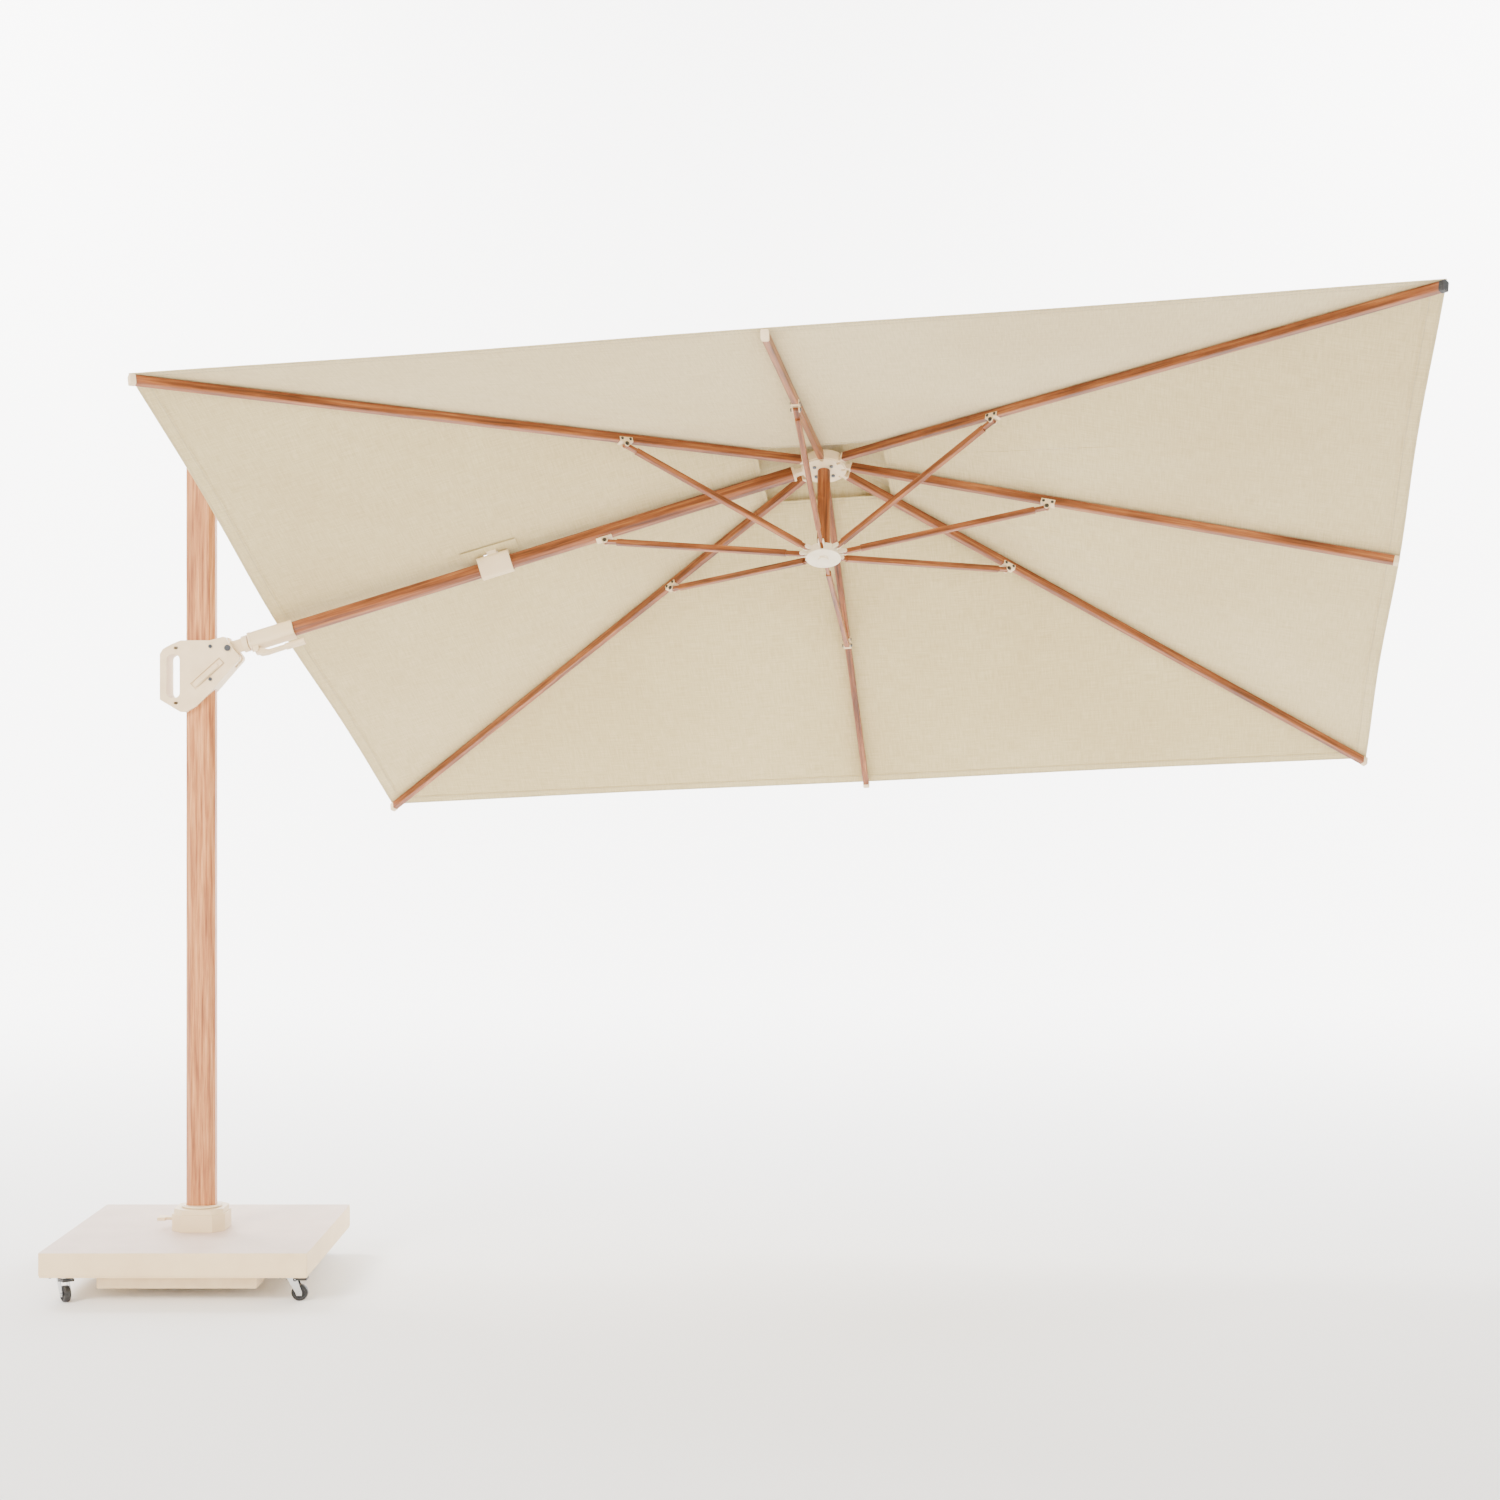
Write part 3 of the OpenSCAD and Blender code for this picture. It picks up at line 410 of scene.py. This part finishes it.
def islands(bm):  # the loose parts of a mesh, as lists of faces
    left, found = set(bm.faces), []
    while left:
        start = left.pop()
        part, edge = [start], [start]
        while edge:
            face = edge.pop()
            for side in face.edges:
                for other in side.link_faces:
                    if other in left:
                        left.discard(other)
                        part.append(other)
                        edge.append(other)
        found.append(part)
    return found


def reachOf(part):
    points = np.array([vert.co for face in part for vert in face.verts])
    return float((points.max(0) - points.min(0)).max())


def finished(nodeName, bevel, materials, chooser=None):
    # a copy with doubles merged and edges rounded, as a casting or moulding has them, in place of the node
    mesh = nodes[nodeName].data.copy()
    mesh.materials.clear()
    for material in materials:
        mesh.materials.append(material)
    bm = bmesh.new()
    bm.from_mesh(mesh)
    bmesh.ops.remove_doubles(bm, verts=bm.verts, dist=edgeFinish["weld"])
    bmesh.ops.dissolve_limit(bm, angle_limit=edgeFinish["flat"], verts=bm.verts, edges=bm.edges)
    parts = islands(bm)
    for part in parts:
        choice = chooser(part, parts) if chooser else 0
        for face in part:
            face.material_index = choice
            face.smooth = True
    bm.to_mesh(mesh)
    bm.free()
    mesh.set_sharp_from_angle(angle=edgeFinish["sharp"])
    obj = bpy.data.objects.new(nodeName + "_finished", mesh)
    bpy.context.scene.collection.objects.link(obj)
    if bevel:
        rounding = obj.modifiers.new("rounding", "BEVEL")
        rounding.width, rounding.segments = bevel, edgeFinish["segments"]
        rounding.limit_method, rounding.angle_limit = "ANGLE", edgeFinish["sharp"]
        rounding.harden_normals = True
    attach(obj, bodyOf[nodeName])
    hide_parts(nodeName)
    return obj


almost = 1e-6  # metres, for sizes that are equal


def longestIsTube(part, parts):
    return 0 if reachOf(part) >= max(reachOf(other) for other in parts) - almost else 1


def coat(nodeName, material):  # a CAD node whose shape stays, with its finish
    mesh = nodes[nodeName].data
    mesh.materials.clear()
    mesh.materials.append(material)


def woodFor(nodeName, tones, seed):
    return woodFoilAluminium(nodeName, longAxis(coordinates(nodes[nodeName])), tones, seed)


coat("mast", woodFoilAluminium("mast", (0, 0, 1), "mast", 1))
for seed, nodeName in enumerate(["upper_strut", "arm_tube"] + ["rib_" + rib for rib in ribs]):
    coat(nodeName, woodFor(nodeName, "tube", seed + 2))
coat("centre_pole", woodFoilAluminium("centre_pole", up, "tube", 12))
for seed, nodeName in enumerate(["strut_arm"] + ["strut_" + rib for rib in ribs]):
    finished(nodeName, 0.0008, [woodFor(nodeName, "tube", seed + 20), finishes["moulding"]],
             longestIsTube)

smooth = {  # width of the rounding on each finished piece's edges, in metres
    "casting": {"foot_block": 0.004, "mast_head": 0.002, "strut_ends": 0.0015, "arm_neck": 0.002,
                "arm_socket": 0.003, "arm_end": 0.0012, "hub_body": 0.0012},
    "ring": {"foot_ring": 0.003},
    "moulding": {"base_plinth": 0.003, "slider_near_shell": 0.0035, "slider_far_shell": 0.0035,
                 "clamp_lever": 0.0016, "tilt_lever": 0.0025, "turn_pedal": 0.002},
    "disc": {"runner": 0.001},
    "slab": {"base_slab": 0.003},
}
for finish, widths in smooth.items():
    for nodeName, width in widths.items():
        finished(nodeName, width, [finishes[finish]])


def tipCapInPaintedShade(part, parts):  # the cap lies farthest from the hub; drawn black, it is painted shade of the rib's open end
    def distance(faces):
        return max((vert.co - peak).length for face in faces for vert in face.verts)
    return 1 if distance(part) >= max(distance(other) for other in parts) - almost else 0


# near_outer's tip cap gets the black finish: painted shade of its open end
for rib in ribs:
    finished("rib_fittings_" + rib, 0.0008, [finishes["moulding"], finishes["black"]],
             tipCapInPaintedShade if rib == "near_outer" else None)
largestFastener = 0.03  # the clamp bracket's own bolts are smaller than this, in metres


def smallIsBolt(part, parts):
    return 1 if reachOf(part) < largestFastener else 0


finished("arm_bracket", 0.0018, [finishes["casting"], finishes["bolt"]], smallIsBolt)
coat("slider_bolts", finishes["bolt"])
coat("hub_bolts", finishes["bolt"])
coat("castor_plates", finishes["chrome"])
for castor in castors:
    finished("castor_fork_" + castor, 0.0008, [finishes["chrome"]])
    finished("castor_wheel_" + castor, 0.0015, [finishes["rubber"]])
    finished("castor_brake_" + castor, 0.001, [finishes["black"]])
print("frame pieces finished")


boltSizes = {  # metres, with the last three as shares of a bolt's radius
    "bracket": 0.0055, "saddle": 0.0038, "plate": 0.0045, "earFace": 0.0118, "saddleFace": 0.0125,
    "saddleStep": 0.014, "saddleRise": 0.016, "plateStep": 0.029, "plateThickness": 0.003,
    "headHeight": 0.75, "washerWidth": 1.3, "washerDepth": 0.3,
}


def boltTree():
    tree = bpy.data.node_groups.new("hexagonBolts", "GeometryNodeTree")
    tree.interface.new_socket(name="Places", in_out="INPUT", socket_type="NodeSocketGeometry")
    for name in ("Head Height", "Washer Width", "Washer Depth"):
        tree.interface.new_socket(name=name, in_out="INPUT", socket_type="NodeSocketFloat")
    tree.interface.new_socket(name="Metal", in_out="INPUT", socket_type="NodeSocketMaterial")
    tree.interface.new_socket(name="Bolts", in_out="OUTPUT", socket_type="NodeSocketGeometry")
    given = addNode(tree, "NodeGroupInput").outputs
    facing = addNode(tree, "GeometryNodeInputNamedAttribute", {"Name": "facing"}, data_type="FLOAT_VECTOR")
    size = addNode(tree, "GeometryNodeInputNamedAttribute", {"Name": "size"}, data_type="FLOAT")
    turned = addNode(tree, "FunctionNodeAlignRotationToVector", {"Vector": facing.outputs[0]},
                     axis="Z").outputs[0]
    head = addNode(tree, "GeometryNodeMeshCylinder", {
        "Vertices": 6, "Radius": 1.0, "Depth": given["Head Height"]})
    washer = addNode(tree, "GeometryNodeMeshCylinder", {
        "Vertices": 20, "Radius": given["Washer Width"], "Depth": given["Washer Depth"]})
    lift = addNode(tree, "ShaderNodeMath", {0: given["Head Height"], 1: 0.5},
                   operation="MULTIPLY").outputs[0]
    shift = addNode(tree, "ShaderNodeCombineXYZ", {"Z": lift}).outputs[0]
    raised = addNode(tree, "GeometryNodeTransform", {
        "Geometry": head.outputs["Mesh"], "Translation": shift}).outputs[0]
    bolt = addNode(tree, "GeometryNodeJoinGeometry")
    for part in (raised, washer.outputs["Mesh"]):
        tree.links.new(part, bolt.inputs[0])
    placed = addNode(tree, "GeometryNodeInstanceOnPoints", {
        "Points": given["Places"], "Instance": bolt.outputs[0], "Rotation": turned,
        "Scale": size.outputs[0]}).outputs[0]
    real = addNode(tree, "GeometryNodeRealizeInstances", {"Geometry": placed}).outputs[0]
    plated = addNode(tree, "GeometryNodeSetMaterial", {
        "Geometry": real, "Material": given["Metal"]}).outputs[0]
    addNode(tree, "NodeGroupOutput", {"Bolts": plated})
    return tree


def grow(obj, tree, values):  # a node tree's result on the object's own mesh, as a plain mesh
    modifier = obj.modifiers.new("grow", "NODES")
    modifier.node_group = tree
    for item in tree.interface.items_tree:
        if item.item_type == "SOCKET" and item.in_out == "INPUT" and item.name in values:
            modifier[item.identifier] = values[item.name]
    evaluated = obj.evaluated_get(bpy.context.evaluated_depsgraph_get())
    result = bpy.data.meshes.new_from_object(evaluated)
    obj.modifiers.clear()
    obj.data = result
    return obj


hexagonBolts = boltTree()
boltInputs = {"Head Height": boltSizes["headHeight"], "Washer Width": boltSizes["washerWidth"],
              "Washer Depth": boltSizes["washerDepth"], "Metal": finishes["bolt"]}


def boltSet(name, body, bolts):  # bolts are (place, facing, size)
    mesh = bpy.data.meshes.new(name)
    mesh.from_pydata([tuple(bolt[0]) for bolt in bolts], [], [])
    mesh.attributes.new("facing", "FLOAT_VECTOR", "POINT")
    mesh.attributes.new("size", "FLOAT", "POINT")
    for k, (_, direction, radius) in enumerate(bolts):
        mesh.attributes["facing"].data[k].vector = direction
        mesh.attributes["size"].data[k].value = radius
    obj = bpy.data.objects.new(name, mesh)
    bpy.context.scene.collection.objects.link(obj)
    grow(obj, hexagonBolts, boltInputs)
    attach(obj, body)


def bracketBolts(jointName, direction, withSaddle):
    pivot, axis = jointPlace(jointName), jointAxis(jointName)
    bolts = []
    over = (up - direction * up.dot(direction)).normalized()
    for side in (-1, 1):
        outward = axis * side
        bolts.append((pivot + outward * boltSizes["earFace"], outward, boltSizes["bracket"]))
        for step in ((-1, 1) if withSaddle else ()):
            place = (pivot + direction * step * boltSizes["saddleStep"] + over * boltSizes["saddleRise"]
                     + outward * boltSizes["saddleFace"])
            bolts.append((place, outward, boltSizes["saddle"]))
    return bolts


for rib in ribs:
    direction = longAxis(coordinates(nodes["rib_" + rib]))
    boltSet("bracket_bolts_" + rib, "rib_" + rib, bracketBolts("strut_fold_" + rib, direction, True))
boltSet("bracket_bolts_arm", "arm", bracketBolts("strut_fold_arm", armAxis, False))
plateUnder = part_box("base_slab")[0].z - boltSizes["plateThickness"]
plateBolts = []
for castor in castors:
    middle = jointPlace("swivel_" + castor)
    for x in (-1, 1):
        for y in (-1, 1):
            place = Vector((middle.x + x * boltSizes["plateStep"], middle.y + y * boltSizes["plateStep"],
                            plateUnder))
            plateBolts.append((place, Vector((0, 0, -1)), boltSizes["plate"]))
boltSet("castor_plate_bolts", "base", plateBolts)
print("bolts placed")


# metres; crown, crownStart and keep are shares, and hipWidth is a part of the way to the next rib
canopy = {
    "halfLength": 1.75, "halfWidth": 1.35, "drop": 0.49, "rise": 0.0185, "thickness": 0.0014,
    "ventLength": 0.4, "ventLap": 0.095, "ventGap": 0.020, "ventPeak": 0.044, "crown": 0.03,
    "sag": 0.010, "scallop": 0.0045, "armBow": 0.016, "hem": 0.030, "hemStep": 0.0012,
    "ruffle": 0.0055, "ruffleLength": 0.052, "keep": 0.07,
    "columns": 28, "rows": 44, "coverColumns": 40, "coverRows": 14, "crownColumns": 64, "crownRows": 3,
    "slotLength": 0.143, "slotWidth": 0.112, "flapLap": 0.016, "flapOpening": (0.022, 0.030),
    "crease": 0.0012, "creaseWaves": (34, 9), "crownStart": 0.004, "rim": 0.016, "hipWidth": 0.012,
    "hemThickness": 0.0006, "flapThickness": 0.0016, "stitchSink": 0.0006, "stitchRise": 0.0008,
    "sharp": math.radians(50),
}
# corners and edge middles of the canopy's outline, as shares of its half length and half width
outline = [(1, 0), (1, 1), (0, 1), (-1, 1), (-1, 0), (-1, -1), (0, -1), (1, -1)]
carriers = ["rib_outer", "rib_far_outer", "rib_far", "rib_far_inner", "arm", "rib_near_inner", "rib_near",
            "rib_near_outer"]
ventShare = canopy["ventLength"] / 2 / canopy["halfLength"]
coverShare = ventShare + canopy["ventLap"] / canopy["halfLength"]


def rimPoint(place):  # place counts the ribs and the arm round the canopy, from the outer rib
    first, second = outline[math.floor(place) % 8], outline[(math.floor(place) + 1) % 8]
    part = place - math.floor(place)
    return ((first[0] + (second[0] - first[0]) * part) * canopy["halfLength"],
            (first[1] + (second[1] - first[1]) * part) * canopy["halfWidth"])


def between(place):  # 0 at a rib, 1 half way to the next
    return math.sin(math.pi * (place - math.floor(place))) ** 2


def clothPoint(share, place, lift=0.0):
    x, y = rimPoint(place)
    part = (share - ventShare) / (1 - ventShare)
    slack = between(place)
    bow = max(0.0, math.cos(math.pi / 2 * min(1.0, abs(place - 4)))) ** 2 * canopy["armBow"] * share ** 5
    reach = share * (1 - canopy["scallop"] * slack * share ** 6) + bow / canopy["halfLength"]
    turns, waves = canopy["creaseWaves"]
    crease = canopy["crease"] * math.sin(turns * place + waves * share) * math.sin(math.pi * part) * slack
    height = (canopy["rise"] - share * canopy["drop"] + crease + lift
              - canopy["sag"] * slack * max(0.0, math.sin(math.pi * part)) ** 0.8)
    return Vector((reach * x, reach * y, height))


def rimLength(place):  # distance along the edge, for the ruffles
    x, y = rimPoint(place)
    return y if abs(abs(x) - canopy["halfLength"]) < almost else x


def coverPoint(share, place, lift=0.0):
    x, y = rimPoint(place)
    part = (share - canopy["crownStart"]) / (coverShare - canopy["crownStart"])
    edge = canopy["rise"] + canopy["ventGap"] - coverShare * canopy["drop"]
    wave = math.sin(2 * math.pi * rimLength(place) * coverShare / canopy["ruffleLength"])
    slope = canopy["ventPeak"] + (edge - canopy["ventPeak"]) * part
    height = slope + canopy["ruffle"] * wave * part ** 5
    return Vector((share * x, share * y, height + lift))


def clothUv(point):  # metres along and across the gore that the point lies in
    x, y = abs(point[0]) / canopy["halfLength"], abs(point[1]) / canopy["halfWidth"]
    slopes = (canopy["drop"] / canopy["halfLength"], canopy["drop"] / canopy["halfWidth"])
    if x >= y:
        return point[1], point[0] * math.hypot(1, slopes[0])
    return point[0], point[1] * math.hypot(1, slopes[1])


def sheetMesh(name, surface, shares, places, material, cut=None):
    grid = [[surface(share, place) for place in places] for share in shares]
    width = len(places)
    points = [point for row in grid for point in row]
    faces = [(r * width + c, (r + 1) * width + c, (r + 1) * width + c + 1, r * width + c + 1)
             for r in range(len(shares) - 1) for c in range(width - 1)]
    mesh = bpy.data.meshes.new(name)
    mesh.from_pydata(points, [], faces)
    bm = bmesh.new()
    bm.from_mesh(mesh)
    if cut:
        cut(bm)
    layer = bm.loops.layers.uv.new("cloth")
    for face in bm.faces:
        face.smooth = True
        centre = face.calc_center_median()
        for loop in face.loops:
            nudged = loop.vert.co.lerp(centre, 0.001)
            loop[layer].uv = clothUv(nudged)
    bm.transform(canopyFrame)
    bm.normal_update()
    if sum(face.normal.dot(up) for face in bm.faces) < 0:
        bmesh.ops.reverse_faces(bm, faces=bm.faces)
    bm.to_mesh(mesh)
    bm.free()
    mesh.materials.append(material)
    obj = bpy.data.objects.new(name, mesh)
    bpy.context.scene.collection.objects.link(obj)
    return obj


def thicken(obj, thickness):  # gives the cloth its thickness, with rims that stay sharp
    wall = obj.modifiers.new("cloth_thickness", "SOLIDIFY")
    wall.thickness, wall.offset = thickness, 1.0
    evaluated = obj.evaluated_get(bpy.context.evaluated_depsgraph_get())
    mesh = bpy.data.meshes.new_from_object(evaluated)
    obj.modifiers.clear()
    obj.data = mesh
    mesh.set_sharp_from_angle(angle=canopy["sharp"])


def steps(low, high, count):
    return [low + (high - low) * k / count for k in range(count + 1)]


slotMiddle = (jointPlace("link_end") - peak).dot(along)


def cutSlot(bm):  # the opening over the arm's bracket
    half = (canopy["slotLength"] / 2, canopy["slotWidth"] / 2)
    for axis, middle in ((0, slotMiddle), (1, 0.0)):
        for side in (-1, 1):
            place, facing = Vector((0, 0, 0)), Vector((0, 0, 0))
            place[axis], facing[axis] = middle + side * half[axis], 1.0
            bmesh.ops.bisect_plane(bm, geom=bm.verts[:] + bm.edges[:] + bm.faces[:], plane_co=place,
                                   plane_no=facing)
    inside = [face for face in bm.faces
              if abs(face.calc_center_median().x - slotMiddle) < half[0]
              and abs(face.calc_center_median().y) < half[1]]
    bmesh.ops.delete(bm, geom=inside, context="FACES")


def slotFlap(material):  # a flap that leaves room for the link only
    half = (canopy["slotLength"] / 2, canopy["slotWidth"] / 2)
    rings = [canopy["flapOpening"], [reach + canopy["flapLap"] for reach in half]]
    points, faces = [], []
    for ring in rings:
        for side in ((-1, -1), (1, -1), (1, 1), (-1, 1)):
            x, y = slotMiddle + side[0] * ring[0], side[1] * ring[1]
            height = canopy["rise"] - abs(x) / canopy["halfLength"] * canopy["drop"] - canopy["hemStep"]
            points.append(canopyFrame @ Vector((x, y, height - canopy["sag"] * 0.35)))
    for k in range(4):
        faces.append((k, (k + 1) % 4, 4 + (k + 1) % 4, 4 + k))
    mesh = bpy.data.meshes.new("slot_flap")
    mesh.from_pydata(points, [], faces)
    layer = mesh.uv_layers.new(name="cloth")
    back = canopyFrame.inverted()
    for loop in mesh.loops:
        layer.data[loop.index].uv = clothUv(back @ mesh.vertices[loop.vertex_index].co)
    mesh.materials.append(material)
    obj = bpy.data.objects.new("slot_flap", mesh)
    bpy.context.scene.collection.objects.link(obj)
    thicken(obj, canopy["flapThickness"])
    return obj


def gather(obj, place):  # rides rigidly with its rib or the arm
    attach(obj, carriers[place])
    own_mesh(obj)


def stitchTree():  # short lengths of thread along a line
    tree = bpy.data.node_groups.new("stitchRow", "GeometryNodeTree")
    tree.interface.new_socket(name="Line", in_out="INPUT", socket_type="NodeSocketGeometry")
    for name in ("Pitch", "Stitch Length", "Thread Radius"):
        tree.interface.new_socket(name=name, in_out="INPUT", socket_type="NodeSocketFloat")
    tree.interface.new_socket(name="Thread", in_out="INPUT", socket_type="NodeSocketMaterial")
    tree.interface.new_socket(name="Stitches", in_out="OUTPUT", socket_type="NodeSocketGeometry")
    given = addNode(tree, "NodeGroupInput").outputs
    curve = addNode(tree, "GeometryNodeMeshToCurve", {"Mesh": given["Line"]}).outputs[0]
    spaced = addNode(tree, "GeometryNodeResampleCurve", {"Curve": curve, "Length": given["Pitch"]},
                     mode="LENGTH")
    tangent = addNode(tree, "GeometryNodeInputTangent").outputs[0]
    turned = addNode(tree, "FunctionNodeAlignRotationToVector", {"Vector": tangent}, axis="Z").outputs[0]
    thread = addNode(tree, "GeometryNodeMeshCylinder", {
        "Vertices": 5, "Side Segments": 1, "Radius": given["Thread Radius"],
        "Depth": given["Stitch Length"]})
    placed = addNode(tree, "GeometryNodeInstanceOnPoints", {
        "Points": spaced.outputs[0], "Instance": thread.outputs["Mesh"],
        "Rotation": turned}).outputs[0]
    real = addNode(tree, "GeometryNodeRealizeInstances", {"Geometry": placed}).outputs[0]
    dyed = addNode(tree, "GeometryNodeSetMaterial", {
        "Geometry": real, "Material": given["Thread"]}).outputs[0]
    addNode(tree, "NodeGroupOutput", {"Stitches": dyed})
    return tree


def grown(name, lines, tree, values):  # a node tree's result on some lines or points, as a plain mesh
    mesh = bpy.data.meshes.new(name + "_seed")
    points, edges = [], []
    for line in lines:
        start = len(points)
        points += [tuple(point) for point in line]
        edges += [(start + k, start + k + 1) for k in range(len(line) - 1)]
    mesh.from_pydata(points, edges, [])
    obj = bpy.data.objects.new(name, mesh)
    bpy.context.scene.collection.objects.link(obj)
    return grow(obj, tree, values)


sewing = {"Pitch": 0.011, "Stitch Length": 0.0075, "Thread Radius": 0.0006, "Thread": finishes["thread"]}
stitchRow = stitchTree()


def bandMesh(name, surface, strips, material):
    # bindings: narrow strips on the cloth, each given as (shares, places, lift)
    joined = None
    for number, (shares, places, lift) in enumerate(strips):
        def raised(share, place, rise=lift):
            return surface(share, place, rise)
        piece = sheetMesh(name + "_" + str(number), raised, shares, places, material)
        if joined is None:
            joined = piece
            continue
        with bpy.context.temp_override(active_object=joined, selected_editable_objects=[joined, piece]):
            bpy.ops.object.join()
    joined.name = name
    return joined


def buildCanopy():
    below, above = -canopy["hemStep"], canopy["thickness"] + canopy["hemStep"] * 0.3
    hemShare = canopy["hem"] / canopy["halfWidth"]
    rimShare = canopy["rim"] / canopy["halfWidth"]
    for place, carrier in enumerate(carriers):
        places = steps(place - 0.5, place + 0.5, canopy["columns"])
        shares = steps(ventShare, 1.0, canopy["rows"])
        cloth = sheetMesh("canopy_gore_" + carrier, clothPoint, shares, places, finishes["cloth"],
                          cutSlot if carrier == "arm" else None)
        thicken(cloth, canopy["thickness"])
        edge = steps(1 - hemShare, 1.0, 2)
        rim = steps(ventShare, ventShare + rimShare, 1)
        strips = [(edge, places, below), (edge, places, above), (rim, places, below), (rim, places, above)]
        if place % 2:  # the sewn hip over each corner rib
            hip = [place - canopy["hipWidth"], place, place + canopy["hipWidth"]]
            strips.append((shares, hip, above))
        hem = bandMesh("canopy_hem_" + carrier, clothPoint, strips, finishes["cloth"])
        thicken(hem, canopy["hemThickness"])
        lines = [[canopyFrame @ clothPoint(share, spot, lift) for spot in places]
                 for share in (1 - hemShare * 0.85, 1 - hemShare * 0.15, ventShare + rimShare * 0.6)
                 for lift in (below - canopy["stitchSink"], above + canopy["stitchRise"])]
        stitches = grown("canopy_stitches_" + carrier, lines, stitchRow, sewing)
        extras = [hem, stitches]
        if carrier == "arm":
            extras.append(slotFlap(finishes["cloth"]))
        for piece in (cloth, *extras):
            gather(piece, place)
        if place == 0:
            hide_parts("canopy")
        # the raised vent cover, over the opening
        coverShares = steps(canopy["crown"], coverShare, canopy["coverRows"])
        finePlaces = steps(place - 0.5, place + 0.5, canopy["coverColumns"])
        cover = sheetMesh("vent_cover_" + carrier, coverPoint, coverShares, finePlaces, finishes["cloth"])
        thicken(cover, canopy["thickness"])
        gather(cover, place)
        if place == 0:
            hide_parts("vent_cover")
    start = canopy["crownStart"]
    crown = sheetMesh("vent_crown", coverPoint, steps(start, canopy["crown"] + start, canopy["crownRows"]),
                      steps(0, len(carriers), canopy["crownColumns"]), finishes["cloth"])
    thicken(crown, canopy["thickness"])
    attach(crown, "hub")


buildCanopy()
print("canopy sewn")
